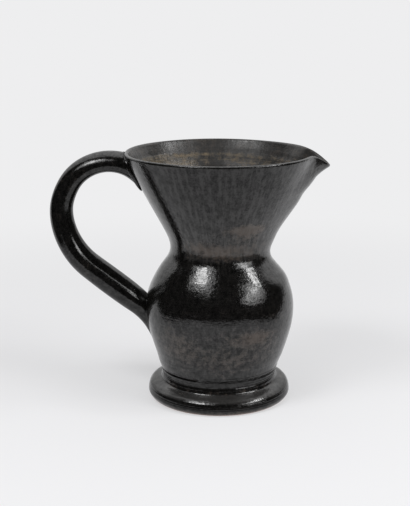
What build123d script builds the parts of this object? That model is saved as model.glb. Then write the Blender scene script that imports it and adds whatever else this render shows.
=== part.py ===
from build123d import *
import math
import os

# A thrown pottery jug, put together leather-hard from a turned foot ring, a
# thrown bowl, a thrown funnel neck with a pinched spout and a rolled handle.
# Slip and soft clay bed the four joints. Millimetres, +Z up, the spout
# towards +X, the handle towards -X, the origin on the wheel's axis at the table.


def blend(low, high, share):
    """The value a share of the way from low to high."""
    return low + (high - low) * share


# Foot ring, turned on the wheel to fit the bowl's base, from which it is set off
foot_height = 26.0
foot_seat_width = 11.4
foot_collar_inset = 0.6
foot_collar_taper = 0.6
foot_collar_round = 0.7
foot_cove_width = 9.1
foot_cove_height = 6.1
foot_cove_depth = 1.0
foot_bead_height = 13.9
foot_bead_swell = 2.6
foot_bead_swell_height = 7.5
foot_bead_undercut = 2.1
foot_bearing_width = 8.5
foot_recess_height = 17.0

# Bowl, thrown with its floor
belly_radius = 62.3
bowl_base_radius = 49.4
bowl_height = 92.0
bowl_wall = 5.4
bowl_floor = 8.0
bowl_floor_flat_radius = 30.0
bowl_boss_height = 4.0
bowl_mouth_radius = 45.4

# Neck, thrown as a funnel, with the spout pinched out of its wall
rim_height = 210.0
rim_radius = 79.4
rim_wall = 3.4
rim_trim = 2.0
rim_trim_flare = 0.9
lip_round = 1.0
waist_radius = 41.3
waist_wall = 5.6
spigot_length = 6.0
spigot_wall = 2.6

# Spout: a broad keel that runs down the neck, and a beak at the lip
spout_keel = 13.7
spout_beak = 17.5
spout_beak_length = 21.0
spout_beak_wall = 4.2
spout_keel_low_angle = 16.0
spout_keel_top_angle = 6.5
spout_beak_angle = 4.6
spout_lip_setback = 4.2
spout_lip_slope = 34.0
spout_lip_bend = 18.0

# Handle, a rolled coil bent in one plane: its centre line, then its clay. The side's
# radius is a share of the largest one whose arc still reaches the heel.
handle_overhang = 52.3
handle_crown_rise = 0.45
handle_bow_radius = 40.7
handle_bow_start_angle = 51.7
handle_side_radius_share = 0.766
handle_heel_gap = 8.2
handle_heel_height_share = 0.615
handle_tail_radius = 50.9
handle_tail_length = 42.4
coil_root_radius = 9.9
coil_crown_radius = 8.9
coil_side_radius = 9.2
coil_elbow_radius = 10.5
coil_run_radius = 10.8
coil_heel_radius = 10.4
coil_tail_radius = 8.2
coil_tip_radius = 4.3

# Joints
foot_slip = 0.8
foot_slip_recess = 1.6
waist_slip = 0.6
luting_thickness = 1.2
luting_bead = 1.6

# Overrun of every cut past the clay that it removes
overrun = 2.0

# The bowl's outer curve between its base and its mouth, bottom to top:
# shares of the bowl's height, and of the step from its base to its widest ring
bowl_curve_shares = ((0.21, 0.51), (0.42, 0.91), (0.57, 1.0), (0.75, 0.77))

# The neck's outer curve above its waist, bottom to top: shares of the height
# from the joint to the rim, and of the step from the waist to the rim
waist_height_share = 0.09
neck_curve_shares = ((0.295, 0.139), (0.515, 0.424), (0.735, 0.7), (1.0, 1.0))
spout_keel_power_share = 1.0
spout_beak_power_share = 1.5

# Where the neck's sections lie, as shares of its curve from joint to rim
neck_section_shares = (
    0.0, 0.03, 0.07, 0.12, 0.18, 0.26, 0.36, 0.48, 0.6, 0.71, 0.79,
    0.83, 0.87, 0.91, 0.955, 1.0,
)
points_round_section = 36
spout_point_crowding = 0.7

# The coil's radius along the handle: shares of the path's length
coil_radius_shares = (
    (0.0, coil_root_radius),
    (0.13, blend(coil_root_radius, coil_crown_radius, 0.4)),
    (0.21, coil_crown_radius),
    (0.33, coil_crown_radius),
    (0.44, coil_side_radius),
    (0.55, blend(coil_side_radius, coil_elbow_radius, 0.6)),
    (0.67, coil_elbow_radius),
    (0.755, coil_run_radius),
    (0.84, coil_heel_radius),
    (0.92, coil_tail_radius),
    (0.968, blend(coil_tail_radius, coil_tip_radius, 0.4)),
    (1.0, coil_tip_radius),
)


def turned(*edges):
    """The solid that a flat outline, of radius and height, makes on the wheel."""
    return revolve(Plane.XZ * make_face(edges), Axis.Z)


# Heights and radii that the joints share
foot_bore_radius = bowl_base_radius - foot_seat_width
bowl_seat_height = foot_height + foot_slip
joint_height = bowl_seat_height + bowl_height
neck_base_height = joint_height + waist_slip
neck_height = rim_height - neck_base_height
neck_base_radius = bowl_mouth_radius - waist_slip
bore_lap_radius = neck_base_radius - waist_wall
spigot_radius = bore_lap_radius + spigot_wall
bowl_lap_radius = spigot_radius + waist_slip
spigot_end_height = neck_base_height - spigot_length
bowl_ledge_height = spigot_end_height - waist_slip


def bowl_point(height_share, swell_share, inset):
    """A point of the bowl's wall, inset towards the axis."""
    radius = blend(bowl_base_radius, belly_radius, swell_share) - inset
    return Vector(radius, bowl_seat_height + bowl_height * height_share)


def bowl_outer(extra):
    """The bowl's outer curve, stood off by extra."""
    points = [Vector(bowl_base_radius + extra, bowl_seat_height)]
    points += [bowl_point(h, s, -extra) for h, s in bowl_curve_shares]
    points += [Vector(bowl_mouth_radius + extra, joint_height)]
    return Spline(*points)


def bowl_blank(extra):
    """The bowl as if it were solid, its side stood off by extra."""
    side = bowl_outer(extra)
    top = Polyline(side @ 1, Vector(0, joint_height), Vector(0, bowl_seat_height), side @ 0)
    return turned(side, top)


def foot_ring():
    """Bead, cove and collar outside, a dished recess and the bowl's bore inside."""
    collar_radius = bowl_base_radius - foot_collar_inset
    collar_base_radius = collar_radius - foot_collar_taper
    bead_top_radius = collar_base_radius + foot_cove_width
    bead_base_radius = bead_top_radius - foot_bead_undercut
    bearing_radius = bead_base_radius - foot_bearing_width
    bead = ThreePointArc(
        Vector(bead_base_radius, 0),
        Vector(bead_top_radius + foot_bead_swell, foot_bead_swell_height),
        Vector(bead_top_radius, foot_bead_height),
    )
    cove_top = Vector(collar_base_radius, foot_bead_height + foot_cove_height)
    cove = SagittaArc(bead @ 1, cove_top, foot_cove_depth)
    collar = Polyline(
        cove @ 1,
        Vector(collar_radius, foot_height - foot_collar_round),
        Vector(collar_radius - foot_collar_round, foot_height),
        Vector(foot_bore_radius, foot_height),
        Vector(foot_bore_radius, foot_recess_height),
    )
    recess = SagittaArc(
        collar @ 1, Vector(bearing_radius, 0), (bearing_radius - foot_bore_radius) / 3
    )
    bearing = Line(recess @ 1, bead @ 0)
    return turned(bead, cove, collar, recess, bearing)


def foot_slip_joint():
    """The slip between the foot ring and the bowl's base, kept back from the groove."""
    outer = bowl_base_radius - foot_slip_recess
    boss = foot_bore_radius - foot_slip
    boss_end = bowl_seat_height - bowl_boss_height
    outline = Polyline(
        Vector(outer, bowl_seat_height),
        Vector(outer, foot_height),
        Vector(foot_bore_radius, foot_height),
        Vector(foot_bore_radius, boss_end),
        Vector(boss, boss_end),
        Vector(boss, bowl_seat_height),
        close=True,
    )
    return turned(outline)


def belly_bowl():
    """The thrown bowl: boss and base below, a rebate for the neck's spigot above."""
    side = bowl_outer(0)
    boss = foot_bore_radius - foot_slip
    boss_end = bowl_seat_height - bowl_boss_height
    floor_height = bowl_seat_height + bowl_floor
    mouth = Polyline(
        side @ 1,
        Vector(bowl_lap_radius, joint_height),
        Vector(bowl_lap_radius, bowl_ledge_height),
        Vector(bore_lap_radius, bowl_ledge_height),
    )
    inner_points = [bowl_point(h, s, bowl_wall) for h, s in reversed(bowl_curve_shares)]
    inside = Spline(
        mouth @ 1, *inner_points, Vector(bowl_floor_flat_radius, floor_height),
        tangents=[Vector(1, -2), Vector(-1, 0)],
    )
    base = Polyline(
        inside @ 1,
        Vector(0, floor_height),
        Vector(0, boss_end),
        Vector(boss, boss_end),
        Vector(boss, bowl_seat_height),
        side @ 0,
    )
    return turned(side, mouth, inside, base)


def waist_slip_joint():
    """The slip in the stepped lap between the bowl's mouth and the neck's spigot."""
    outline = Polyline(
        Vector(bowl_mouth_radius, joint_height),
        Vector(bowl_lap_radius, joint_height),
        Vector(bowl_lap_radius, bowl_ledge_height),
        Vector(bore_lap_radius, bowl_ledge_height),
        Vector(bore_lap_radius, spigot_end_height),
        Vector(spigot_radius, spigot_end_height),
        Vector(spigot_radius, neck_base_height),
        Vector(neck_base_radius, neck_base_height),
        close=True,
    )
    return turned(outline)


def neck_curve():
    """The neck's outer curve away from the spout, from the joint up to the rim."""
    waist = Vector(waist_radius, neck_base_height + neck_height * waist_height_share)
    rise = [
        Vector(blend(waist_radius, rim_radius, step), neck_base_height + neck_height * h)
        for h, step in neck_curve_shares
    ]
    trim = Vector(rim_radius + rim_trim_flare, rim_height + rim_trim)
    return Spline(Vector(neck_base_radius, neck_base_height), waist, *rise, trim)


def neck_section(station, inset, beak_inset):
    """One level of the neck: a circle with the keel and the beak swelling at +X."""
    share = max(0, station.Y - neck_base_height) / neck_height
    keel = spout_keel * share**spout_keel_power_share
    keel_angle = blend(spout_keel_low_angle, spout_keel_top_angle, share)
    beak_share = 1 - (rim_height - station.Y) / spout_beak_length
    beak_share = min(1, max(0, beak_share)) ** spout_beak_power_share
    beak = (spout_beak - beak_inset) * beak_share
    points = []
    for index in range(points_round_section):
        turn = 2 * math.pi * (index / points_round_section + 0.25)
        angle = turn - spout_point_crowding * math.sin(turn)
        off = (math.degrees(angle) + 180) % 360 - 180
        swell = keel * math.exp(-((off / keel_angle) ** 2) / 2)
        swell += beak * math.exp(-((off / spout_beak_angle) ** 2) / 2)
        radius = station.X + swell - inset
        points.append(
            Vector(radius * math.cos(angle), radius * math.sin(angle), station.Y)
        )
    return make_face(Spline(*points, periodic=True))


def neck_as_thrown(extra):
    """The neck as if it were solid, untrimmed, its side stood off by extra."""
    curve = neck_curve()
    return loft([neck_section(curve @ s, -extra, 0) for s in neck_section_shares])


def rim_cutter():
    """What is cut off over the rim: level, then sloping down along the spout's lip."""
    reach = rim_radius + rim_trim + spout_keel + spout_beak + overrun
    bend = spout_lip_bend * math.tan(math.radians(spout_lip_slope / 2))
    bend_start = rim_radius - spout_lip_setback - bend
    level = Line((-reach, rim_height), (bend_start, rim_height))
    turn = JernArc(level @ 1, (1, 0), spout_lip_bend, -spout_lip_slope)
    slope_length = (reach - (turn @ 1).X) / (turn % 1).X
    slope = Line(turn @ 1, turn @ 1 + (turn % 1) * slope_length)
    top = rim_height + rim_trim + overrun
    back = Polyline(slope @ 1, (reach, top), (-reach, top), level @ 0)
    outline = Plane.XZ * make_face([level, turn, slope, back])
    return extrude(outline, reach, both=True)


def neck_funnel():
    """The thrown neck: spigot below, waist, flaring wall, soft lip and spout."""
    curve = neck_curve()
    below = Vector(neck_base_radius, spigot_end_height - overrun)
    bore = [neck_section(below, waist_wall, 0)]
    for share in neck_section_shares:
        wall = blend(waist_wall, rim_wall, share)
        bore.append(neck_section(curve @ share, wall, spout_beak_wall))
    spigot = Pos(0, 0, spigot_end_height) * Cylinder(
        spigot_radius, spigot_length, align=(Align.CENTER, Align.CENTER, Align.MIN)
    )
    neck = neck_as_thrown(0) + spigot - loft(bore) - rim_cutter()
    lip_top = neck.edges().filter_by(
        lambda edge: edge.bounding_box().min.Z > rim_height - spout_beak_length
    )
    return fillet(lip_top.filter_by(GeomType.LINE, reverse=True), lip_round)


def handle_path():
    """The coil's centre line: root, bow, side, straight run, and a tail on the bowl."""
    reach = rim_radius + handle_overhang
    bow_x = handle_bow_radius - reach
    bow_z = rim_height + handle_crown_rise - coil_crown_radius - handle_bow_radius
    bow_turn = 180 - handle_bow_start_angle
    bow = CenterArc((bow_x, bow_z), handle_bow_radius, handle_bow_start_angle, bow_turn)
    root_length = (-waist_radius - (bow @ 0).X) / -(bow % 0).X
    root = Line(bow @ 0 - (bow % 0) * root_length, bow @ 0)
    heel = Vector(
        -belly_radius - handle_heel_gap,
        bowl_seat_height + bowl_height * handle_heel_height_share,
    )
    chord = heel - Vector(-reach, bow_z)
    side_radius = handle_side_radius_share * chord.length**2 / (2 * chord.X)
    side_centre = Vector(side_radius - reach, bow_z)
    to_heel = heel - side_centre
    heel_angle = math.degrees(math.atan2(to_heel.Y, to_heel.X)) % 360
    tangent_angle = math.degrees(math.acos(side_radius / to_heel.length))
    side_turn = heel_angle - tangent_angle - 180
    side = CenterArc(side_centre, side_radius, 180, side_turn)
    run = Line(side @ 1, heel)
    tail_turn = math.degrees(handle_tail_length / handle_tail_radius)
    tail = JernArc(heel, run % 1, handle_tail_radius, -tail_turn)
    return Plane.XZ * Wire([root, bow, side, run, tail])


def coil(extra):
    """The handle's clay: a round coil along the path, stood off by extra."""
    path = handle_path()
    rings = []
    for share, radius in coil_radius_shares:
        ring = Plane(path @ share, x_dir=(0, 1, 0), z_dir=path % share)
        rings.append(ring * Circle(radius + extra))
    return loft(rings)


def handle_coil():
    """The coil, cut off where it meets the bedding clay on the neck and the bowl."""
    return coil(0) - neck_as_thrown(luting_thickness) - bowl_blank(luting_thickness)


def upper_luting():
    """The clay that beds the handle on the neck, squeezed out round the coil."""
    bed = coil(luting_bead) & neck_as_thrown(luting_thickness)
    return bed - neck_as_thrown(0) - rim_cutter()


def lower_luting():
    """The clay that beds the handle on the bowl, squeezed out round the coil."""
    return (coil(luting_bead) & bowl_blank(luting_thickness)) - bowl_blank(0)


nodes = {
    "foot_ring": foot_ring,
    "foot_slip_joint": foot_slip_joint,
    "belly_bowl": belly_bowl,
    "waist_slip_joint": waist_slip_joint,
    "neck_funnel": neck_funnel,
    "handle_coil": handle_coil,
    "upper_luting": upper_luting,
    "lower_luting": lower_luting,
}
os.makedirs("parts", exist_ok=True)
for name, make in nodes.items():
    export_step(make(), f"parts/{name}.step")
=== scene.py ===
import math

import bpy
import numpy as np
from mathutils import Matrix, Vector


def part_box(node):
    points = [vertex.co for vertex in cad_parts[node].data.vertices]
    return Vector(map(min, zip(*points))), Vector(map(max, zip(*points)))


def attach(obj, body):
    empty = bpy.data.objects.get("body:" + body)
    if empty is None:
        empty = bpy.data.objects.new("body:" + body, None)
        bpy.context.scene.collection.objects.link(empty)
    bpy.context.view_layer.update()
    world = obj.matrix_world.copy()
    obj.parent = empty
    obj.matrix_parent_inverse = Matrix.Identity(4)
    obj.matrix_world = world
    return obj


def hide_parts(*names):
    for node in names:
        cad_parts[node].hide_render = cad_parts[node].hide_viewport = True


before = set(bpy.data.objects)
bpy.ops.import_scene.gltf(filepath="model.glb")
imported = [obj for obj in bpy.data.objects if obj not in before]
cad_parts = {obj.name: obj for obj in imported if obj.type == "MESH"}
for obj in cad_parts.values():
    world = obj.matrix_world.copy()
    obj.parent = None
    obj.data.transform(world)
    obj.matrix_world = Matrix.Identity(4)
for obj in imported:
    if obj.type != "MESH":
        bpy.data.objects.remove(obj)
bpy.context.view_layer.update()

# The foot ring: a thick ring of red earthenware, thrown and then turned with a loop
# tool into a bead, a cove and a collar. It is dipped in the black glaze, and its
# bearing edge is wiped bare so that it doesn't stick to the kiln shelf.
mm = 0.001
columns = 288
foot_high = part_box("foot_ring")[1]
foot_height = foot_high.z / mm
foot_bead_proud = 0.3
foot_bead_radius = foot_high.x / mm + foot_bead_proud
foot_base_radius = 55.9
foot_bead_widest_height = 5.4
foot_mould_heights = np.array([5.4, 7.0, 9.0, 11.0, 12.4, 13.6, 14.8, 16.0, 17.0, 18.4, 20.2])
foot_mould_steps = np.array([0.0, 0.1, 0.4, 1.0, 1.75, 2.9, 4.8, 8.2, 10.4, 11.3, 12.1])
foot_collar_base = (48.0, 20.5)
foot_collar_radius = 48.8
foot_collar_round = 0.7
foot_bearing_width = 8.5
foot_bearing_radius = foot_base_radius - foot_bearing_width
foot_bead_low_bend = (foot_bead_radius - 1.7, 2.0)
foot_bore_radius = 38.0
foot_recess_height = 17.0
foot_recess_bend = (41.0, 7.5)
foot_tool_mark_pitch = 1.9
foot_tool_mark_depth = 0.03
foot_mould_lift = 0.2
foot_mould_drop = 2.2
foot_mould_back_share = 0.35
foot_groove_depth = 0.7
foot_fill_height = 3.7
foot_fill_radius = 50.3
foot_fill_start = (-0.48, -0.2)
foot_fill_end = (2.4, 2.0)


def line(start, end, count):
    """Points at even steps from the start up to, but not onto, the end."""
    return np.linspace(start, end, count, endpoint=False)


def arc(start, middle, end, count):
    """Points at even turns on the circle through three points, short of the last one.
    The centre is where the bisectors of the two chords meet."""
    a, b, c = (np.asarray(p, float) for p in (start, middle, end))
    system = 2 * np.array([b - a, c - a])
    centre = np.linalg.solve(system, [b @ b - a @ a, c @ c - a @ a])
    turns = np.unwrap([math.atan2(*(p - centre)[::-1]) for p in (a, b, c)])
    angles = np.linspace(turns[0], turns[2], count, endpoint=False)
    radius = np.linalg.norm(a - centre)
    return centre + radius * np.stack([np.cos(angles), np.sin(angles)], -1)


def smooth(stations, values, at):
    """Values on the cubic curve through the given ones, whose bend changes evenly from
    one to the next and is nothing at both ends. It runs on straight past the ends."""
    x, y, at = (np.asarray(part, float) for part in (stations, values, at))
    gap = np.diff(x)
    inner = np.arange(1, len(x) - 1)
    system = np.eye(len(x))
    system[inner, inner - 1] = gap[:-1]
    system[inner, inner] = 2 * (gap[:-1] + gap[1:])
    system[inner, inner + 1] = gap[1:]
    right = np.zeros(len(x))
    right[inner] = 6 * np.diff(np.diff(y) / gap)
    bend = np.linalg.solve(system, right)
    held = np.clip(at, x[0], x[-1])
    i = np.clip(np.searchsorted(x, held) - 1, 0, len(x) - 2)
    t = held - x[i]
    first = (y[i + 1] - y[i]) / gap[i] - gap[i] * (2 * bend[i] + bend[i + 1]) / 6
    change = (bend[i + 1] - bend[i]) / gap[i]
    slope = first + bend[i] * t + change / 2 * t**2
    return y[i] + first * t + bend[i] / 2 * t**2 + change / 6 * t**3 + slope * (at - held)


def revolve(profile, count=columns):
    """A ring of points for each radius and height of the profile: the radius times the
    cosine and sine of an even turn, at that height."""
    turn = np.linspace(0, 2 * math.pi, count, endpoint=False)
    radius, height = profile[:, :1], profile[:, 1:]
    flat = np.ones(count)
    return np.stack([radius * np.cos(turn), radius * np.sin(turn), height * flat], -1)


def gather(rings, poles):
    """What the rings hold, point by point, with one mean value for an end ring that is
    drawn together to a pole."""
    middle = rings[1:-1] if poles else rings
    flat = middle.reshape(-1, *rings.shape[2:])
    return np.concatenate([rings[:1].mean(1), flat, rings[-1:].mean(1)]) if poles else flat


def skin(name, rings, poles):
    """A closed mesh through rings of points in millimetres. Each ring closes on itself.
    With poles the first and the last ring shrink to one point each, and without them
    the last ring joins the first one. The faces are turned to look outwards."""
    ring_count, count = rings.shape[:2]
    points = gather(rings, poles)
    caps = []
    if poles:
        index = np.arange((ring_count - 2) * count).reshape(-1, count) + 1
        lower, upper = index[:-1], index[1:]
        after = np.roll(index, -1, 1)
        top = np.full(count, len(points) - 1)
        caps.append(np.stack([np.zeros(count, int), after[0], index[0]], -1))
        caps.append(np.stack([top, index[-1], after[-1]], -1))
    else:
        lower = np.arange(ring_count * count).reshape(-1, count)
        upper = np.roll(lower, -1, 0)
    quads = np.stack([lower, np.roll(lower, -1, 1), np.roll(upper, -1, 1), upper], -1)
    faces = [*caps, quads.reshape(-1, 4)]
    corners = np.concatenate([part.ravel() for part in faces])
    sizes = np.concatenate([np.full(len(part), part.shape[1]) for part in faces])
    starts = np.concatenate([[0], np.cumsum(sizes)[:-1]])
    a, b, c, d = (points[quads[..., k].ravel()] for k in range(4))
    volume = (a * np.cross(b, c)).sum() + (a * np.cross(c, d)).sum()
    mesh = bpy.data.meshes.new(name)
    mesh.vertices.add(len(points))
    mesh.vertices.foreach_set("co", (points * mm).ravel())
    mesh.loops.add(len(corners))
    mesh.loops.foreach_set("vertex_index", corners.astype(np.int32))
    mesh.polygons.add(len(starts))
    mesh.polygons.foreach_set("loop_start", starts.astype(np.int32))
    mesh.update(calc_edges=True)
    if volume < 0:
        mesh.flip_normals()
    mesh.shade_smooth()
    mesh.set_sharp_from_angle(angle=math.radians(38))
    piece = bpy.data.objects.new(name, mesh)
    bpy.context.scene.collection.objects.link(piece)
    return piece


def mark(piece, name, values):
    """Keeps a number, or a place of three numbers, for each point of the mesh, for its
    material to read."""
    values = np.broadcast_to(values, (len(piece.data.vertices), *np.shape(values)[1:]))
    kind, field = ("FLOAT_VECTOR", "vector") if values.ndim > 1 else ("FLOAT", "value")
    layer = piece.data.attributes.new(name, kind, "POINT")
    layer.data.foreach_set(field, values.astype(np.float32).ravel())


def marks(piece, thin=0.1, dull=0.0, film=0.0, bare=0.0):
    """Marks how thin the glaze is at each point, how dull, how filmed over and how bare. Below
    nothing, dull means thicker and blacker; some pieces use that as painted shade, and the grey of
    dull glaze as painted light."""
    for name, values in (("thin", thin), ("dull", dull), ("film", film), ("bare", bare)):
        mark(piece, name, values)


def places(piece):
    """The turn from the camera's side towards the spout's side, the distance from the
    wheel's axis and the height of every point, in radians and millimetres. It also
    marks each point's place on the unrolled wall: a circle 60 mm wide, and the height."""
    points = np.empty(len(piece.data.vertices) * 3, np.float32)
    piece.data.vertices.foreach_get("co", points)
    x, y, z = points.reshape(-1, 3).T / mm
    radius = np.hypot(x, y)
    size = 60 / np.maximum(radius, 1)
    mark(piece, "wall", np.stack([x * size, y * size, z], -1))
    return np.arctan2(x, -y), radius, z


def step(low, high, values):
    """Nothing below the low value, one above the high one, and an even S between."""
    share = np.clip((values - low) / (high - low), 0, 1)
    return share * share * (3 - 2 * share)


def colour(code):
    """The linear colour of an sRGB hex value such as #1b1a1a."""
    levels = np.array([int(code[i : i + 2], 16) for i in (1, 3, 5)]) / 255
    linear = np.where(levels <= 0.04045, levels / 12.92, ((levels + 0.055) / 1.055) ** 2.4)
    return (*linear, 1.0)


def add(tree, kind, settings=(), **inputs):
    """Adds one node, sets its properties, and sets or links its inputs, each given by
    name or as i and its number. A node given as an input means its first output."""
    node = tree.nodes.new(kind)
    for name, value in dict(settings).items():
        setattr(node, name, value)
    for name, value in inputs.items():
        numbered = name[1:].isdigit()
        socket = node.inputs[int(name[1:]) if numbered else name.replace("_", " ")]
        if isinstance(value, bpy.types.Node):
            value = value.outputs[0]
        if isinstance(value, bpy.types.NodeSocket):
            tree.links.new(value, socket)
        else:
            socket.default_value = value
    return node


def iron_glaze(name, strokes=0.0, rings=0.0, peel_mm=2.2, ripple_mm=0.13):
    """Black iron glaze on red earthenware, dipped and fired: glossy and near black where
    it is thick. It ran in upright strokes, and shows the potter's rings through it. The
    marks say where it is thin and brown, where it is dull and grey, where a pale film
    lies on it and where the clay is bare. Small ripples like an orange's peel break up
    what it mirrors."""
    material = bpy.data.materials.new(name)
    material.use_nodes = True
    tree = material.node_tree
    tree.nodes.clear()
    weigh, tint = {"operation": "MULTIPLY_ADD"}, {"data_type": "RGBA"}
    where = add(tree, "ShaderNodeTexCoord").outputs["Object"]
    wall = add(tree, "ShaderNodeAttribute", {"attribute_name": "wall"}).outputs["Vector"]
    thin, dull, film, bare = (
        add(tree, "ShaderNodeAttribute", {"attribute_name": kept}).outputs["Fac"]
        for kept in ("thin", "dull", "film", "bare")
    )

    # On the unrolled wall, in millimetres: strokes about 3 wide and 14 long, and rings
    # about 1 high. In the clay and the glaze itself: clouds, mottling, specks and peel.
    upright = add(tree, "ShaderNodeMapping", Vector=wall, Scale=(0.36, 0.36, 0.07))
    upright = add(tree, "ShaderNodeTexNoise", Vector=upright, Scale=1.0, Detail=2.0, Roughness=0.6)
    level = add(tree, "ShaderNodeMapping", Vector=wall, Scale=(0.03, 0.03, 1.1))
    level = add(tree, "ShaderNodeTexNoise", Vector=level, Scale=1.0, Detail=3.0, Roughness=0.6)
    cloud, mottle, speckle, peel = (
        add(
            tree, "ShaderNodeTexNoise", Vector=where, Scale=1 / (size * mm), Detail=detail,
            Roughness=grit,
        )
        for size, detail, grit in ((24, 4, 0.5), (4.5, 6, 0.68), (1.5, 3, 0.6), (peel_mm, 1, 0.5))
    )

    # Thick glaze is near black, and a haze of all four patterns lifts it a little.
    haze = add(tree, "ShaderNodeMapRange", Value=speckle, i1=0.38, i2=0.66, i4=0.45)
    for pattern, low, high, weight in (
        (mottle, 0.38, 0.64, 0.6), (upright, 0.46, 0.68, strokes), (level, 0.46, 0.72, rings)
    ):
        lift = add(tree, "ShaderNodeMapRange", Value=pattern, i1=low, i2=high)
        haze = add(tree, "ShaderNodeMath", weigh, i0=lift, i1=weight, i2=haze)
    body = add(tree, "ShaderNodeMix", tint, i0=haze, i6=colour("#040404"), i7=colour("#151413"))
    body = body.outputs[2]

    # Over it come the grey of dull glaze, the brown of thin glaze and the pale film,
    # each where its own mark and the patterns add up to enough.
    coats = []
    for parts, offset, full, code in (
        (((haze, 0.5), (dull, 1.5)), -0.5, 1.2, "#2f2e2d"),
        (((cloud, 0.5), (mottle, 2.6), (thin, 1.35)), -1.95, 0.8, "#3f3731"),
        (((mottle, 1.7), (level, 0.9), (film, 1.2)), -1.85, 0.9, "#70624b"),
    ):
        share = offset
        for value, weight in parts:
            share = add(tree, "ShaderNodeMath", weigh, i0=value, i1=weight, i2=share)
        share = add(tree, "ShaderNodeMapRange", Value=share, i2=full)
        body = add(tree, "ShaderNodeMix", tint, i0=share, i6=body, i7=colour(code)).outputs[2]
        coats.append(share)
    brown, pale = coats[1:]
    clay = add(tree, "ShaderNodeMix", tint, i0=mottle, i6=colour("#6a4534"), i7=colour("#a3714f"))
    worn = add(tree, "ShaderNodeMath", weigh, i0=mottle, i1=0.8, i2=bare)
    worn = add(tree, "ShaderNodeMapRange", Value=worn, i1=0.85, i2=1.0)
    body = add(tree, "ShaderNodeMix", tint, i0=worn, i6=body, i7=clay.outputs[2]).outputs[2]

    # Clean glaze mirrors sharply. Film, specks, wear and bare clay make it rough, and
    # both the blackest and the dullest glaze throw back less light.
    rough = add(tree, "ShaderNodeMapRange", Value=cloud, i1=0.3, i2=0.7, i3=0.06, i4=0.13)
    matt = add(tree, "ShaderNodeMapRange", Value=dull, i1=0.5, i2=1.5, i4=0.34)
    for value, weight in ((pale, 0.25), (brown, 0.1), (speckle, 0.08), (matt, 1.0), (worn, 0.5)):
        rough = add(tree, "ShaderNodeMath", weigh, i0=value, i1=weight, i2=rough)
    shine = add(tree, "ShaderNodeMapRange", Value=haze, i1=0.1, i2=1.1, i3=0.29, i4=0.7)
    for low, high, at_low, at_high in ((-1.0, 0.0, 0.2, 1.0), (0.75, 1.25, 1.0, 0.62)):
        kept = add(tree, "ShaderNodeMapRange", Value=dull, i1=low, i2=high, i3=at_low, i4=at_high)
        shine = add(tree, "ShaderNodeMath", {"operation": "MULTIPLY"}, i0=shine, i1=kept)
    relief = peel
    for value, weight in (
        (upright, 0.3 * strokes), (level, 0.25 + 0.5 * rings), (speckle, 0.3), (pale, 1.2)
    ):
        relief = add(tree, "ShaderNodeMath", weigh, i0=value, i1=weight, i2=relief)
    bump = add(tree, "ShaderNodeBump", Height=relief, Distance=ripple_mm * mm)
    glaze = add(
        tree, "ShaderNodeBsdfPrincipled", Base_Color=body, Roughness=rough, IOR=1.5, Normal=bump,
        Specular_IOR_Level=shine,
    )
    add(tree, "ShaderNodeOutputMaterial", Surface=glaze)
    return material


def finish(piece, material, node):
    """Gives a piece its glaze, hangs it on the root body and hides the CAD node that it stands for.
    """
    piece.data.materials.append(material)
    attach(piece, "root")
    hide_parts(node)


def foot_profile():
    """Radius and height round the ring's section: the bearing edge, a rounded bead that
    runs up through a cove as one smooth curve, a collar, the flat top, the bore and a
    hollow recess. Tool marks are a small sine along the height."""
    widest = (foot_bead_radius, foot_bead_widest_height)
    mould = np.linspace(foot_bead_widest_height, foot_collar_base[1] - 0.3, 90)
    steps = smooth(foot_mould_heights, foot_mould_steps, mould)
    shoulder = (foot_collar_radius, foot_height - foot_collar_round)
    rim = (foot_collar_radius - foot_collar_round, foot_height)
    recess = (foot_bore_radius, foot_recess_height)
    outline = np.concatenate([
        line((foot_bearing_radius, 0.0), (foot_base_radius, 0.0), 8),
        arc((foot_base_radius, 0.0), foot_bead_low_bend, widest, 30),
        np.stack([foot_bead_radius - steps, mould], -1),
        line(foot_collar_base, shoulder, 14),
        line(shoulder, rim, 3),
        line(rim, (foot_bore_radius, foot_height), 10),
        line((foot_bore_radius, foot_height), recess, 8),
        arc(recess, foot_recess_bend, (foot_bearing_radius, 0.0), 20),
    ])
    height = outline[:, 1]
    ripple = foot_tool_mark_depth * np.sin(2 * math.pi * height / foot_tool_mark_pitch)
    turned_part = step(1.5, 3.0, height) * step(foot_height - 1, foot_height - 2, height)
    outline[:, 0] += ripple * turned_part * (outline[:, 0] > foot_collar_base[0] - 0.5)
    return outline


def foot_rings():
    """The profile turned. The loop tool ran lower in front than behind, by a cosine of
    the turn. In front and on the spout's side the collar's edge swells by an even S of
    the turn, where slip filled the groove above it, and elsewhere the groove is open."""
    rings = revolve(foot_profile())
    front = np.arctan2(rings[..., 0], -rings[..., 1])
    reach = np.hypot(rings[..., 0], rings[..., 1])
    moulded = step(3, 10, rings[..., 2]) * step(20.8, 16, rings[..., 2]) * step(47, 48, reach)
    filled = step(*foot_fill_start, front) * step(*foot_fill_end, front)
    edge = step(foot_height - 1.2, foot_height - 0.3, rings[..., 2]) * step(47.4, 48.0, reach)
    lower = foot_mould_drop * np.cos(front).clip(-foot_mould_back_share)
    rings[..., 2] += (foot_mould_lift - lower) * moulded
    rings[..., 2] += (foot_fill_height * filled - foot_groove_depth) * edge
    rings[..., :2] *= (1 + (foot_fill_radius - reach) * edge * filled / reach)[..., None]
    return rings


foot = skin("foot_ring_turned", foot_rings(), poles=False)
front, radius, height = places(foot)
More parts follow.
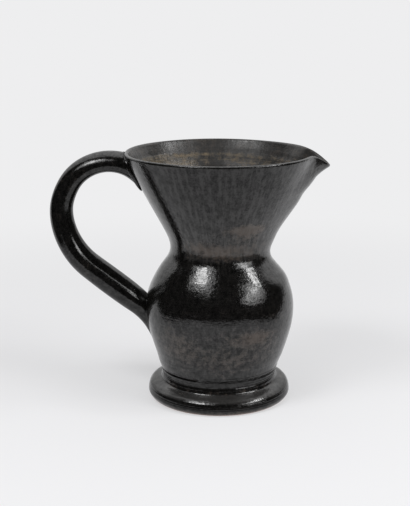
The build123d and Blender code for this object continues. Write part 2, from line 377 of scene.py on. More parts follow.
# The recess and the bearing edge are bare. The glaze ran thin at the bead's low edge and in the
# cove. Round the bead, and on the left and right sides as seen from the camera, the glaze is made
# to mirror less: painted shade. Above the bead it is dull, rough and grey, and that grey also
# paints the broad reflection on the shelf.
wiped = (radius < foot_collar_base[0] - 1) | (height < 0.4)
low_edge = np.exp(-(((height - 2.0) / 2.2) ** 2))
cove = np.exp(-(((height - 17) / 3) ** 2))
# Painted shade: the band round the bead mirrors less and looks blacker.
bead = step(1.5, 3.0, height) * step(9.0, 7.0, height)
# Dull grey glaze above the bead, partly painted reflection, less the painted shade round the bead.
dulling_and_painted_light = 0.8 * step(9.0, 12.0, height) * step(16.5, 14.5, height) - 0.5 * bead
# Painted shade: the foot's left and right sides, as seen from the camera, mirror less.
painted_shade_sides = step(0.75, 1.0, np.abs(np.sin(front)))
marks(
    foot,
    thin=0.75 * low_edge + 0.25 * cove,
    dull=dulling_and_painted_light - (dulling_and_painted_light + 0.48) * painted_shade_sides,
    bare=np.where(wiped, 1.0, 0.8 * (1 - step(0.4, 1.6, height))),
)
finish(foot, iron_glaze("black_iron_glaze_turned_foot", rings=0.5), "foot_ring")

# The slip in the joints, between foot and bowl and in the lap at the waist: a smear of
# the same red clay, thinned with water, that held the leather-hard pieces together and
# was fired with them. Where it shows, at the bottom of the groove, it is matt and brown.
slip_clay = bpy.data.materials.new("fired_red_slip")
slip_clay.use_nodes = True
tree = slip_clay.node_tree
tree.nodes.clear()
where = add(tree, "ShaderNodeTexCoord").outputs["Object"]
lumps = add(tree, "ShaderNodeTexNoise", Vector=where, Scale=1 / (2.5 * mm), Detail=5.0)
tone = add(
    tree, "ShaderNodeMix", {"data_type": "RGBA"}, i0=lumps, i6=colour("#120e0c"),
    i7=colour("#3b2821"),
)
rough = add(tree, "ShaderNodeMapRange", Value=lumps, i3=0.55, i4=0.85)
bump = add(tree, "ShaderNodeBump", Height=lumps, Distance=0.15 * mm)
shader = add(
    tree, "ShaderNodeBsdfPrincipled", Base_Color=tone.outputs[2], Roughness=rough, Normal=bump
)
add(tree, "ShaderNodeOutputMaterial", Surface=shader)
for node in ("foot_slip_joint", "waist_slip_joint"):
    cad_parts[node].data.materials.clear()
    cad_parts[node].data.materials.append(slip_clay)

# The bowl: the round belly, thrown in one pull with its floor, then smoothed outside
# with a rib. The potter's fingers left a slow spiral inside it. A boss below fits the
# foot's bore, and a rebate at the mouth takes the neck's spigot.
bowl_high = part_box("belly_bowl")[1]
joint_height = bowl_high.z / mm
foot_slip_height = 0.8
bowl_seat_height = foot_height + foot_slip_height
bowl_height = joint_height - bowl_seat_height
bowl_base_radius = 49.4
belly_radius = bowl_high.x / mm
bowl_wall = 5.4
bowl_floor_thickness = 8.0
bowl_floor_height = bowl_seat_height + bowl_floor_thickness
bowl_floor_flat_radius = 30.0
bowl_floor_round = (40.5, bowl_floor_height + 3.1)
bowl_boss_height = 4.0
bowl_boss_clearance = 0.8
bowl_boss_radius = foot_bore_radius - bowl_boss_clearance
bowl_rebate_depth = 6.0
bowl_ledge_height = joint_height - bowl_rebate_depth
bowl_lap_radius = 42.4
bore_lap_radius = 39.2
waist_slip_height = 0.6
seam_height = joint_height + waist_slip_height / 2
seam_radius = 45.27
seam_step = 0.23
seam_tuck = 0.05
finger_ridge_depth = 0.28
finger_ridge_pitch = 9.0
floor_ridge_depth = 0.35
floor_ridge_pitch = 8.0
rim_height = 210.0
rim_radius = 79.4
waist_radius = 41.3
neck_base_height = joint_height + waist_slip_height
neck_height = rim_height - neck_base_height

# One curve shapes the outside of the bowl and the neck, because the potter smoothed
# the joint between them away: shares of each piece's height, and of the step from the
# bowl's base to the belly or from the waist to the rim.
bowl_height_shares = np.array([0.0, 0.21, 0.42, 0.57, 0.75])
bowl_step_shares = np.array([0.0, 0.51, 0.91, 1.0, 0.77])
neck_height_shares = np.array([0.09, 0.295, 0.515, 0.735, 1.0])
neck_step_shares = np.array([0.0, 0.139, 0.424, 0.7, 1.0])
wall_heights = np.concatenate([
    bowl_seat_height + bowl_height * bowl_height_shares,
    [joint_height, neck_base_height],
    neck_base_height + neck_height * neck_height_shares,
])
wall_radii = np.concatenate([
    bowl_base_radius + (belly_radius - bowl_base_radius) * bowl_step_shares,
    [seam_radius + seam_step, seam_radius - seam_step],
    waist_radius + (rim_radius - waist_radius) * neck_step_shares,
])


def wall_radius(height):
    """The outer radius of the bowl, or of the neck away from its spout, at a height."""
    return smooth(wall_heights, wall_radii, height)


def bowl_profile():
    """Radius and height from the middle of the boss, up the side, over the rebate and
    down the inside to the middle of the floor."""
    side = np.linspace(bowl_seat_height, seam_height, 150)
    boss_end = bowl_seat_height - bowl_boss_height
    inside = np.array([
        (bore_lap_radius, bowl_ledge_height),
        *zip(wall_radii[4:0:-1] - bowl_wall, wall_heights[4:0:-1]),
        bowl_floor_round,
        (bowl_floor_flat_radius, bowl_floor_height),
    ])
    along = np.concatenate([[0], np.cumsum(np.linalg.norm(np.diff(inside, axis=0), axis=1))])
    steps = np.linspace(0, along[-1], 120)
    return np.concatenate([
        line((0.0, boss_end), (bowl_boss_radius, boss_end), 12),
        line((bowl_boss_radius, boss_end), (bowl_boss_radius, bowl_seat_height), 3),
        line((bowl_boss_radius, bowl_seat_height), (bowl_base_radius, bowl_seat_height), 6),
        np.stack([wall_radius(side), side], -1),
        line((seam_radius - seam_tuck, seam_height), (bowl_lap_radius, seam_height), 3),
        line((bowl_lap_radius, seam_height), (bowl_lap_radius, bowl_ledge_height), 4),
        line((bowl_lap_radius, bowl_ledge_height), (bore_lap_radius, bowl_ledge_height), 3),
        np.stack([smooth(along, inside[:, 0], steps), smooth(along, inside[:, 1], steps)], -1),
        line((bowl_floor_flat_radius - 0.5, bowl_floor_height), (0.0, bowl_floor_height), 40),
        [(0.0, bowl_floor_height)],
    ])


wheel_spiral_depth = 0.012
wheel_spiral_pitch = 5.5
wheel_oval = 0.06
wheel_oval_pitch = 30
belly_shift = 0.65
belly_swells = ((135.5, 8, 1.35), (106, 7, 1.1))


def wheel_wave(turn, height):
    """What the wheel and the potter's hands left on the outside, which runs on over the
    joint: a faint spiral, the slight oval of a pot that was lifted wet, a belly that sits
    a little towards the spout, and two soft swells there, bell curves of the height."""
    spiral = wheel_spiral_depth * np.sin(2 * math.pi * height / wheel_spiral_pitch - turn)
    oval = wheel_oval * np.sin(2 * turn + height / wheel_oval_pitch)
    shift = belly_shift * np.cos(turn) * step(bowl_seat_height + 3, bowl_seat_height + 14, height)
    shift = shift * step(joint_height - 2, joint_height - 18, height)
    side = step(0.15, 0.95, np.cos(turn))
    swell = sum(rise * np.exp(-(((height - top) / half) ** 2)) for top, half, rise in belly_swells)
    above_seat = step(bowl_seat_height, bowl_seat_height + 3, height)
    return shift + (spiral + oval + side * swell) * above_seat


def bowl_rings():
    """The profile turned, with waves added: the wheel's own outside, a strong spiral
    inside, a sine of the height less one pitch for each turn, and on the floor a sine
    of the radius."""
    rings = revolve(bowl_profile())
    turn = np.arctan2(rings[..., 1], rings[..., 0])
    reach = np.hypot(rings[..., 0], rings[..., 1])
    height = rings[..., 2]
    wall = wall_radius(height) - reach
    outside = (np.abs(wall) < 0.01) & (height >= bowl_seat_height)
    inside = step(3.0, 4.5, wall) * step(bowl_ledge_height, bowl_ledge_height - 8, height)
    inside = inside * step(bowl_floor_height + 1.0, bowl_floor_height + 9.0, height)
    floor = step(0.4, 0.0, np.abs(height - bowl_floor_height)) * step(3, 9, reach)
    inner_wave = finger_ridge_depth * np.sin(2 * math.pi * height / finger_ridge_pitch - turn)
    wave = outside * wheel_wave(turn, height) + inside * inner_wave
    rings[..., :2] *= (1 + wave / np.maximum(reach, 1))[..., None]
    floor_wave = floor_ridge_depth * np.sin(2 * math.pi * reach / floor_ridge_pitch + turn)
    rings[..., 2] += floor * floor_wave
    return rings


def blots(front, height, *spots):
    """Soft spots on the wall: for each its strength, its turn and height, and how wide
    and how high it is. Each is the bell curve of the distance from its middle."""
    total = 0
    for strength, at_turn, at_height, wide, high in spots:
        off = (front - at_turn + math.pi) % (2 * math.pi) - math.pi
        total = total + strength * np.exp(-((off / wide) ** 2) - ((height - at_height) / high) ** 2)
    return total


bowl = skin("belly_bowl_thrown", bowl_rings(), poles=True)
front, radius, height = places(bowl)
outer = radius > wall_radius(height) - 1
# The glaze went on thin and brown in patches low on the belly. Inside it is scoured
# and filmed over from use, and the boss below was never dipped.
patches = blots(
    front, height,
    (0.8, 0.5, 66, 0.3, 6), (0.35, 0.1, 48, 0.8, 14), (0.35, -0.7, 58, 0.4, 14),
    (0.3, 0.7, 84, 0.3, 7), (0.6, 2.4, 60, 0.6, 14), (0.5, 3.6, 50, 0.7, 12),
)
marks(
    bowl,
    thin=np.where(outer, patches + 0.12 * step(85, 70, height), 0.4),
    dull=np.where(outer, 0.12 * step(78, 60, height), 1.4),
    film=np.where(outer, 0.0, 0.5),
    bare=np.where(height < bowl_seat_height - 1, 1.0, 0.0),
)
bowl_glaze = iron_glaze("black_iron_glaze_thrown_bowl", strokes=0.25, rings=0.3)
finish(bowl, bowl_glaze, "belly_bowl")

# The neck: a funnel thrown upside down, with a spigot that drops into the bowl's
# rebate. While it was wet the potter pinched a keel and a beak out of its wall with
# two fingers and a thumb, cut the lip down along the spout, and softened its edge.
neck_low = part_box("neck_funnel")[0]
rim_wall = 3.4
waist_wall = 5.6
spigot_end_height = neck_low.z / mm
spigot_radius = 41.8
spout_keel = 13.7
spout_beak = 21.6
spout_beak_length = 21.0
spout_beak_wall = 4.2
spout_keel_low_angle = 16.0
spout_keel_top_angle = 6.5
spout_beak_angle = 4.6
spout_pinch_depth = 1.2
spout_pinch_height = 176.0
spout_pinch_half_height = 6.0
spout_lip_setback = 4.2
spout_lip_slope = 29.0
spout_lip_bend = 18.0
lip_rise = 2.1
lip_crest = 0.7
lip_fullness = 1.1
lip_droop = 0.2
lip_wavers = ((0.15, 3, 1), (0.1, 5, 0))
neck_ridge_depth = 0.1
neck_ridge_pitch = 7.0
spout_crowding = 0.72


def neck_radius(turn, height, inset=0.0, beak_inset=0.0):
    """The neck's radius at a turn from the spout and a height: the wall's curve, plus a
    keel that grows with the height and narrows, plus a beak that swells near the lip.
    Keel and beak are bell curves of the turn. A finger pinched the keel in below."""
    share = np.maximum(height - neck_base_height, 0) / neck_height
    narrowing = (spout_keel_top_angle - spout_keel_low_angle) * np.minimum(share, 1) ** 3
    keel_angle = np.radians(spout_keel_low_angle + narrowing)
    from_pinch = (height - spout_pinch_height) / spout_pinch_half_height
    pinch = spout_pinch_depth * np.exp(-(from_pinch**2))
    keel = spout_keel * share - pinch
    beak_share = np.clip(1 - (rim_height - height) / spout_beak_length, 0, 1) ** 1.5
    beak = (spout_beak - beak_inset) * beak_share
    off = (turn + math.pi) % (2 * math.pi) - math.pi
    swell = keel * np.exp(-((off / keel_angle) ** 2) / 2)
    swell += beak * np.exp(-((off / math.radians(spout_beak_angle)) ** 2) / 2)
    return wall_radius(height) + swell - inset


def neck_wall(height):
    """The wall's thickness, an even taper from the waist to the rim."""
    share = np.clip((height - neck_base_height) / neck_height, 0, 1)
    return waist_wall + (rim_wall - waist_wall) * share


def lip_height(reach, turn):
    """How high the lip is cut at a distance towards the spout: level, then an arc, then
    a straight slope down. The potter's hand wavered a little, by sines of the turn."""
    slope = math.radians(spout_lip_slope)
    start = rim_radius - spout_lip_setback - spout_lip_bend * math.tan(slope / 2)
    run = np.clip(reach - start, 0, spout_lip_bend * math.sin(slope))
    drop = spout_lip_bend - np.sqrt(spout_lip_bend**2 - run**2)
    beyond = np.maximum(reach - start - spout_lip_bend * math.sin(slope), 0)
    waver = sum(rise * np.sin(count * turn + offset) for rise, count, offset in lip_wavers)
    return rim_height - lip_droop + waver - drop - beyond * math.tan(slope)


def crossing(test, low, high):
    """Where a test that is below nothing at the low end and above it at the high end
    changes sign, by halving the span again and again."""
    low, high = np.broadcast_arrays(np.asarray(low, float), np.asarray(high, float))
    for _ in range(40):
        middle = (low + high) / 2
        over = test(middle) > 0
        low, high = np.where(over, low, middle), np.where(over, middle, high)
    return (low + high) / 2


def neck_rings():
    """The neck as rings: up the outside to the lip, over it in two quarters of ellipses
    along the wall's own slope, a wide one outside and a tight one inside, down the
    inside, and round the spigot. The columns crowd towards the spout by a sine."""
    turn = np.linspace(0, 2 * math.pi, columns + 32, endpoint=False) + math.pi
    turn = turn - spout_crowding * np.sin(turn)
    lean = np.stack([np.cos(turn), np.sin(turn)], -1)

    def over_lip(height, inset, beak_inset):
        reach = neck_radius(turn, height, inset, beak_inset) * lean[:, 0]
        return height - lip_height(reach, turn)

    low, high = rim_height - 40, rim_height + 2
    outer_end = crossing(lambda z: over_lip(z, 0.0, 0.0), low, high) - lip_rise
    inner_end = crossing(lambda z: over_lip(z, neck_wall(z), spout_beak_wall), low, high) - lip_rise
    up = np.linspace(0, 1, 150)[:, None]
    outer_z = seam_height + (outer_end - seam_height) * up
    outer_r = neck_radius(turn, outer_z)
    outer_r = outer_r + wheel_wave(turn, outer_z) * step(rim_height + 1, rim_height - 6, outer_z)
    down = np.linspace(0, 1, 130)[:, None]
    inner_z = inner_end + (spigot_end_height - inner_end) * down
    fade = step(neck_base_height, neck_base_height + 8, inner_z)
    fade = fade * step(rim_height - 1, rim_height - 12, inner_z)
    inner_r = neck_radius(turn, inner_z, neck_wall(inner_z), spout_beak_wall)
    ridges = np.sin(2 * math.pi * inner_z / neck_ridge_pitch - turn)
    inner_r = inner_r + fade * neck_ridge_depth * ridges
    bend = np.linspace(0, math.pi, 24)[1:-1, None]
    lean_out = (outer_r[-1] - outer_r[-2]) / (outer_z[-1] - outer_z[-2])
    rise = lip_rise / np.hypot(lean_out, 1)
    wide_quarter = 1 - lip_crest * (1 - np.cos(bend))
    tight_quarter = (1 - lip_crest) * (1 + np.cos(bend))
    across = np.where(bend < math.pi / 2, wide_quarter, tight_quarter)
    lip_r = inner_r[0] + (outer_r[-1] - inner_r[0]) * across + rise * lean_out * np.sin(bend)
    lip_z = inner_z[0] + (outer_z[-1] - inner_z[0]) * across + rise * lip_fullness * np.sin(bend)
    foot = np.concatenate([
        line((bore_lap_radius, spigot_end_height), (spigot_radius, spigot_end_height), 3),
        line((spigot_radius, spigot_end_height), (spigot_radius, seam_height), 4),
        line((spigot_radius, seam_height), (seam_radius - seam_tuck, seam_height), 3),
    ])
    flat = np.ones(len(turn))
    r = np.concatenate([outer_r, lip_r, inner_r, foot[:, :1] * flat])
    z = np.concatenate([outer_z, lip_z, inner_z, foot[:, 1:] * flat])
    return np.stack([r * lean[:, 0], r * lean[:, 1], z], -1)


neck = skin("neck_funnel_thrown", neck_rings(), poles=False)
front, radius, height = places(neck)
turn = front - math.pi / 2
outer = radius > neck_radius(turn, height) - neck_wall(height) / 2
# Outside, brown patches lie round the waist and hands dulled the waist. Below the spout a grey
# patch is painted light, where that wall looks lit, and beside the handle a narrow stripe mirrors
# less: a painted reflection of the handle. Inside, the neck is scoured, most where it is wiped out,
# and a pale film lies below the rim, taken away in one spot low on the far wall as painted shade.
patches = blots(
    front, height,
    (1.25, 0.45, 153.2, 0.36, 4.6), (0.75, 0.1, 134, 0.8, 8), (0.4, 0.5, 146, 0.3, 6),
    (0.4, -0.4, 137, 0.4, 6), (0.8, 2.8, 138, 0.7, 8), (0.6, 3.9, 150, 0.4, 9),
)
dulling_and_painted_light = 0.55 * step(162, 132, height) * step(123, 128, height) - 0.25 * step(150, 195, height)
# Painted light: a grey patch on the wall below the spout, where that side looks lit.
dulling_and_painted_light += blots(front, height, (0.75, 1.3, 203, 0.2, 12))
# Painted reflection: a narrow stripe beside the handle mirrors less, widening the handle's dark
# reflection on the neck.
run = np.exp(-(((front + 0.86) / 0.075) ** 2)) * step(122, 132, height) * step(208, 200, height)
scoured = 0.9 + blots(
    front, height, (0.7, 2.8, 196, 0.4, 10), (0.8, 1.57, 205, 0.3, 12), (0.5, -2.75, 201, 0.3, 9)
)
filmed = step(203, 197, height) * (0.62 - 0.16 * np.sin(front))
# Painted shade: less film in one spot low on the far inside wall, so that it looks shaded.
filmed -= blots(front, height, (0.45, 3.16, 187, 0.22, 6))
marks(
    neck,
    thin=np.where(outer, patches, 0.3),
    dull=np.where(outer, dulling_and_painted_light - (dulling_and_painted_light + 0.9) * run, scoured),
    film=np.where(outer, 0.0, filmed),
    bare=blots(front, height, (0.9, 0.311, 209.6, 0.012, 0.9)),
)
neck_glaze = iron_glaze("black_iron_glaze_thrown_neck", strokes=0.7, rings=0.1)
finish(neck, neck_glaze, "neck_funnel")

# The handle: a coil of clay rolled on the bench, bent in one plane while soft, and
# luted to the rim and to the belly. Rolling left it almost round, with long slow flats
# that break up the light along it.
handle_overhang = 52.3
handle_reach = rim_radius + handle_overhang
handle_bow_radius = 40.7
handle_crown_rise = 0.45
handle_crown_coil_radius = 8.9
handle_bow_height = rim_height + handle_crown_rise - handle_crown_coil_radius - handle_bow_radius
handle_bow_start = math.radians(51.7)
handle_heel_gap = 8.2
handle_heel_share = 0.615
handle_heel_height = bowl_seat_height + bowl_height * handle_heel_share
handle_heel = np.array([-belly_radius - handle_heel_gap, handle_heel_height])
handle_side_share = 0.766
handle_tail_radius = 50.9
handle_tail_length = 46.0
handle_grip_share = 0.39
handle_grip_half_length = 0.05
handle_grip_depth = 0.75
handle_root_sag = 0.7
coil_shares = np.array([0.0, 0.13, 0.21, 0.33, 0.44, 0.55, 0.67, 0.755, 0.84, 0.92, 0.968, 1.0])
coil_oval = 1.15
coil_flats = ((0.13, 2, 37, 0), (0.09, 3, -23, 1), (0.1, 1, 11, 0))
coil_radii = np.array([9.9, 9.5, 8.9, 9.1, 9.7, 10.4, 11.1, 11.3, 10.4, 7.9, 5.9, 3.4])


def handle_path():
    """The centre line as dense points in the plane through the axis: a straight root, a
    bow that is a circle, a flatter side arc tangent to it and to the straight run, and
    a tail that turns down along the belly."""
    bow = np.array([handle_bow_radius - handle_reach, handle_bow_height])
    bow_turn = np.linspace(handle_bow_start, math.pi, 160)
    bow_points = bow + handle_bow_radius * np.stack([np.cos(bow_turn), np.sin(bow_turn)], -1)
    root_way = np.array([math.sin(handle_bow_start), -math.cos(handle_bow_start)])
    root_end = bow_points[0] + root_way * (-waist_radius - bow_points[0, 0]) / root_way[0]
    chord = handle_heel - bow_points[-1]
    side_radius = handle_side_share * (chord @ chord) / (2 * chord[0])
    side = np.array([side_radius - handle_reach, handle_bow_height])
    to_heel = handle_heel - side
    heel_angle = math.atan2(to_heel[1], to_heel[0]) % (2 * math.pi)
    side_end = heel_angle - math.acos(side_radius / math.hypot(*to_heel))
    side_turn = np.linspace(math.pi, side_end, 120)
    side_points = side + side_radius * np.stack([np.cos(side_turn), np.sin(side_turn)], -1)
    run_way = np.array([-math.sin(side_end), math.cos(side_end)])
    across = np.array([run_way[1], -run_way[0]])
    tail_turn = np.linspace(0, handle_tail_length / handle_tail_radius, 90)[:, None]
    tail = np.sin(tail_turn) * run_way + (1 - np.cos(tail_turn)) * across
    return np.concatenate([
        line(root_end, bow_points[0], 60),
        bow_points[:-1],
        side_points[:-1],
        line(side_points[-1], handle_heel, 80),
        handle_heel + handle_tail_radius * tail,
    ])


path = handle_path()
path_steps = np.concatenate([[0], np.cumsum(np.linalg.norm(np.diff(path, axis=0), axis=1))])
path_length = path_steps[-1]
path_ways = np.gradient(path, path_steps, axis=0)
path_ways /= np.linalg.norm(path_ways, axis=1, keepdims=True)


def coil_point(along, turn, share=1.0):
    """A point of the coil: its centre line at that length, and from there a share of
    the coil's radius along the turn about the line. The radius is smooth along the
    length, plus slow flats from rolling: sines of some turns and of the length over a
    pitch. The palm left the section oval, flatter on its upper front, by a sine of
    twice the turn. A grip pushed the line in, by a bell curve of the length, and the
    root sags a little under its own weight."""
    length_share = along / path_length
    grip = np.exp(-(((length_share - handle_grip_share) / handle_grip_half_length) ** 2))
    sag = handle_root_sag * step(0.17, 0.08, length_share)
    centre_x = np.interp(along, path_steps, path[:, 0]) + handle_grip_depth * grip
    centre_z = np.interp(along, path_steps, path[:, 1]) - sag
    way_x = np.interp(along, path_steps, path_ways[:, 0])
    way_z = np.interp(along, path_steps, path_ways[:, 1])
    radius = smooth(coil_shares * path_length, coil_radii, along)
    flats = sum(
        depth * np.sin(count * turn + along / pitch + offset)
        for depth, count, pitch, offset in coil_flats
    )
    flats = flats - coil_oval * way_x * np.sin(2 * (turn + math.pi / 2 - 0.3 * way_x))
    radius = (radius + flats * step(4, 9, radius)) * share
    out = radius * np.cos(turn)
    return np.stack([centre_x - way_z * out, radius * np.sin(turn), centre_z + way_x * out], -1)


def off_neck(points):
    """How far points lie outside the neck's wall."""
    turn = np.arctan2(points[..., 1], points[..., 0])
    return np.hypot(points[..., 0], points[..., 1]) - neck_radius(turn, points[..., 2])


def off_bowl(points):
    """How far points lie outside the belly."""
    turn = np.arctan2(points[..., 1], points[..., 0])
    belly = wall_radius(points[..., 2]) + wheel_wave(turn, points[..., 2])
    return np.hypot(points[..., 0], points[..., 1]) - belly


coil_count = 112
coil_turn = np.linspace(0, 2 * math.pi, coil_count, endpoint=False)


def root_end(share):
    """The length along the coil at which it leaves the neck, round the coil."""
    return crossing(lambda s: off_neck(coil_point(s, coil_turn, share)), 0, 0.3 * path_length)


def tail_end(share):
    """The length along the coil at which it has sunk into the belly, round the coil."""
    return crossing(
        lambda s: -off_bowl(coil_point(s, coil_turn, share)), 0.7 * path_length, path_length
    )


body_rings = 320
cap_shares = np.linspace(0, 1, 8)[:-1]
root_cap = [coil_point(root_end(share), coil_turn, share) for share in cap_shares]
tail_cap = [coil_point(tail_end(share), coil_turn, share) for share in cap_shares[::-1]]
between = np.linspace(0, 1, body_rings)[:, None]
start, end = root_end(1.0), tail_end(1.0)
lengths = start + (end - start) * between
body = coil_point(lengths, np.broadcast_to(coil_turn, (body_rings, coil_count)))
handle = skin("handle_coil_rolled", np.concatenate([root_cap, body, tail_cap]), poles=True)
lengths = np.concatenate([[start] * len(root_cap), lengths, [end] * len(tail_cap)])
round_coil = np.broadcast_to(coil_turn, lengths.shape)
unrolled = np.stack([9 * np.cos(round_coil), 9 * np.sin(round_coil), lengths], -1)
mark(handle, "wall", gather(unrolled, poles=True))
marks(handle)
handle_glaze = iron_glaze("black_iron_glaze_rolled_handle", strokes=0.2, peel_mm=4.0, ripple_mm=0.1)
finish(handle, handle_glaze, "handle_coil")

# The clay that beds the handle: at the rim a soft roll squeezed out round the coil, at
# the belly a fillet that a thumb drew out into the wall, wide at the tail and pinched
# to a crease under the coil. Both were glazed with the jug.
luting_glaze = iron_glaze("black_iron_glaze_luting_clay")
luting_roll_least = 0.8
luting_roll_swell = 1.3
luting_crease = 0.4
luting_spread = 2.0


def unit(vectors):
    """Vectors made one long."""
    return vectors / np.linalg.norm(vectors, axis=-1, keepdims=True)


def outward(points, test):
    """The way in which a test of distance grows fastest, from three small steps."""
    move = 0.05 * np.eye(3)
    return unit(np.stack([test(points + m) - test(points - m) for m in move], -1))


def joint_frame(seam, test):
    """For a closed seam on a wall: the wall's outward way, and the way along the wall
    that leads off the coil."""
    along = unit(np.roll(seam, -1, 0) - np.roll(seam, 1, 0))
    wall = outward(seam, test)
    off = unit(np.cross(along, wall))
    flip = np.sign(((seam - seam.mean(0)) * off).sum(-1).mean())
    return wall, off * flip


seam = coil_point(start, coil_turn)
wall, off = joint_frame(seam, off_neck)
side_share = np.abs(np.sin(coil_turn))
near_rim = step(rim_height + 1.5, rim_height - 9, seam[:, 2]).clip(0.45, 1)
roll_radius = ((luting_roll_least + luting_roll_swell * side_share**2) * near_rim)[:, None]
roll_turn = np.linspace(0, 2 * math.pi, 24, endpoint=False)[:, None, None]
roll = seam + (wall + off) * 0.5 * roll_radius
roll = roll + roll_radius * (np.cos(roll_turn) * wall + np.sin(roll_turn) * off)
upper = skin("upper_luting_roll", roll, poles=False)

seam = coil_point(end, coil_turn)
wall, off = joint_frame(seam, off_bowl)
fillet = luting_crease + luting_spread * step(86, 52, seam[:, 2])
on_coil = coil_point(end - fillet * 1.2, coil_turn)
on_wall = seam + off * fillet[:, None]
reach = np.hypot(on_wall[:, 0], on_wall[:, 1])
on_wall[:, :2] *= (1 - off_bowl(on_wall) / reach)[:, None]
w = np.linspace(0, 1, 14)[:, None, None]
cove = (1 - w) ** 2 * on_coil + 2 * w * (1 - w) * seam + w**2 * on_wall
lower = skin("lower_luting_fillet", np.concatenate([cove, (seam - wall * 0.8)[None]]), poles=False)
for piece, node in ((upper, "upper_luting"), (lower, "lower_luting")):
    places(piece)
    marks(piece)
    finish(piece, luting_glaze, node)

# The table and the studio: a white table top that ends a short way in front of the
# jug, a white backdrop behind it, a dark room in front, a pale ceiling and soft lamps.
floor_reach = 16
table_edge = 0.45
table_splay = 1.8
table_side_factor = 1.32
corner_ways = ((-1, -1), (1, -1), (1, 1), (-1, 1))
floor_corners = [(x * floor_reach, y * floor_reach, 0) for x, y in corner_ways]
floor_mesh = bpy.data.meshes.new("pale_table")
floor_mesh.from_pydata(floor_corners, [], [(0, 1, 2, 3)])
floor = bpy.data.objects.new("pale_table", floor_mesh)
bpy.context.scene.collection.objects.link(floor)
paper = colour("#eeeeef")
table_paint = bpy.data.materials.new("pale_table_paint")
table_paint.use_nodes = True
tree = table_paint.node_tree
tree.nodes.clear()
even = {"interpolation_type": "SMOOTHSTEP"}
rays = add(tree, "ShaderNodeLightPath")
where = add(tree, "ShaderNodeTexCoord").outputs["Object"]
x, y, _ = add(tree, "ShaderNodeSeparateXYZ", Vector=where).outputs

# The glaze mirrors the table up to its edge, 45 cm in front and 34 cm beside the jug,
# and wider behind it. Past that it mirrors the dark room.
ahead = add(tree, "ShaderNodeMath", {"operation": "MULTIPLY"}, i0=y, i1=-1.0)
behind = add(tree, "ShaderNodeMath", {"operation": "MAXIMUM"}, i0=y, i1=0.0)
sideways = add(tree, "ShaderNodeMath", {"operation": "ABSOLUTE"}, i0=x)
sideways = add(
    tree, "ShaderNodeMath", {"operation": "MULTIPLY_ADD"}, i0=behind, i1=-table_splay, i2=sideways
)
sideways = add(
    tree, "ShaderNodeMath", {"operation": "MULTIPLY"}, i0=sideways, i1=table_side_factor
)
past = add(tree, "ShaderNodeMath", {"operation": "MAXIMUM"}, i0=ahead, i1=sideways)
past = add(tree, "ShaderNodeMapRange", Value=past, i1=table_edge - 0.02, i2=table_edge + 0.03)

# Near the jug the table is matt paint that takes its shadow. Further off it turns into
# the plain colour of the backdrop.
matt = add(tree, "ShaderNodeBsdfDiffuse", Color=colour("#e8e8ea"))
plain = add(tree, "ShaderNodeEmission", Color=paper)
black = add(tree, "ShaderNodeEmission", Color=colour("#191919"))
distance = add(tree, "ShaderNodeVectorMath", {"operation": "LENGTH"}, i0=where).outputs["Value"]
far = add(tree, "ShaderNodeMapRange", even, Value=distance, i1=0.25, i2=0.8, i3=0.5)
seen = add(tree, "ShaderNodeMixShader", i0=far, i1=matt, i2=plain)
mirror = add(tree, "ShaderNodeMixShader", i0=past, i1=seen, i2=black)
surface = add(tree, "ShaderNodeMixShader", i0=rays.outputs["Is Glossy Ray"], i1=seen, i2=mirror)
add(tree, "ShaderNodeOutputMaterial", Surface=surface)
floor_mesh.materials.append(table_paint)

# The world: the camera sees plain white paper, the glaze mirrors a room that is dark in
# front and bright behind and above, and an even dim light fills the shadows.
world = bpy.data.worlds.new("studio")
bpy.context.scene.world = world
world.use_nodes = True
tree = world.node_tree
tree.nodes.clear()
rays = add(tree, "ShaderNodeLightPath")
way = add(tree, "ShaderNodeTexCoord").outputs["Generated"]
_, y, z = add(tree, "ShaderNodeSeparateXYZ", Vector=way).outputs
high = add(tree, "ShaderNodeMath", {"operation": "MAXIMUM"}, i0=z, i1=0.0)
back = add(tree, "ShaderNodeMath", {"operation": "MULTIPLY_ADD"}, i0=high, i1=0.66, i2=y)
bright = add(tree, "ShaderNodeMapRange", Value=high, i1=0.2, i2=1.0, i3=0.9, i4=2.3)
glow = add(tree, "ShaderNodeMapRange", even, Value=back, i1=0.52, i2=0.7, i3=0.012, i4=bright)
room = add(tree, "ShaderNodeBackground", Strength=glow)
ambient = add(tree, "ShaderNodeBackground", Strength=0.56)
page = add(tree, "ShaderNodeBackground", Color=paper)
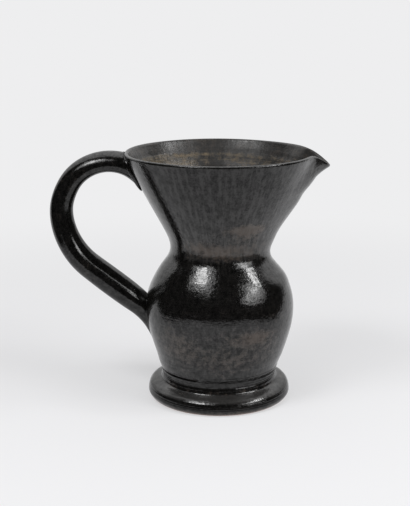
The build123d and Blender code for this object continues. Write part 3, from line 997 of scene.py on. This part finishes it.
lit = add(tree, "ShaderNodeMixShader", i0=rays.outputs["Is Glossy Ray"], i1=ambient, i2=room)
lit = add(tree, "ShaderNodeMixShader", i0=rays.outputs["Is Camera Ray"], i1=lit, i2=page)
add(tree, "ShaderNodeOutputWorld", Surface=lit)

lamp_aim_height = 0.11


def softbox(name, azimuth, elevation, distance, wide, high, radiance):
    """A lamp behind white cloth that faces the jug's middle, at a direction seen from
    there: azimuth from the camera's side towards the spout's side. Its power is its
    radiance times its area times pi."""
    light = bpy.data.lights.new(name, "AREA")
    light.shape = "RECTANGLE"
    light.size, light.size_y = wide, high
    light.energy = radiance * wide * high * math.pi
    lamp = bpy.data.objects.new(name, light)
    a, e = math.radians(azimuth), math.radians(elevation)
    way = np.array([math.sin(a) * math.cos(e), -math.cos(a) * math.cos(e), math.sin(e)])
    lamp.location = way * distance + np.array([0, 0, lamp_aim_height])
    lamp.rotation_euler = (math.pi / 2 - e, 0, a)
    bpy.context.scene.collection.objects.link(lamp)


# A bright lamp on the left and three on the right, and on each side a large dim one
# that gives their light a soft edge.
softbox("left_softbox", -45, 52, 1.4, 0.4, 0.32, 12)
softbox("left_softbox_edge", -43, 50, 1.5, 0.95, 0.6, 2.8)
softbox("right_softbox_top", 81, 44, 1.5, 0.28, 0.24, 17)
softbox("right_softbox_middle", 62, 35, 1.5, 0.28, 0.26, 9)
softbox("right_softbox_foot", 47, 25, 1.5, 0.5, 0.2, 4.5)
softbox("right_softbox_edge", 62, 31, 1.7, 0.9, 0.95, 3.0)

# The camera stands about a metre away and looks about 13.5 degrees down through a long
# lens. Its place and tilt follow from the ellipses of the rim, the belly and the foot.
camera_place = (-11.9, -983.45, 359.16)
camera_tilt_down = 0.23488
camera = bpy.data.objects.new("camera", bpy.data.cameras.new("camera"))
camera.data.sensor_width = 36
camera.data.lens = 85.57
camera.location = [length * mm for length in camera_place]
camera.rotation_euler = (math.pi / 2 - camera_tilt_down, 0, 0)
bpy.context.scene.collection.objects.link(camera)
bpy.context.scene.camera = camera
bpy.context.scene.view_settings.view_transform = "Standard"
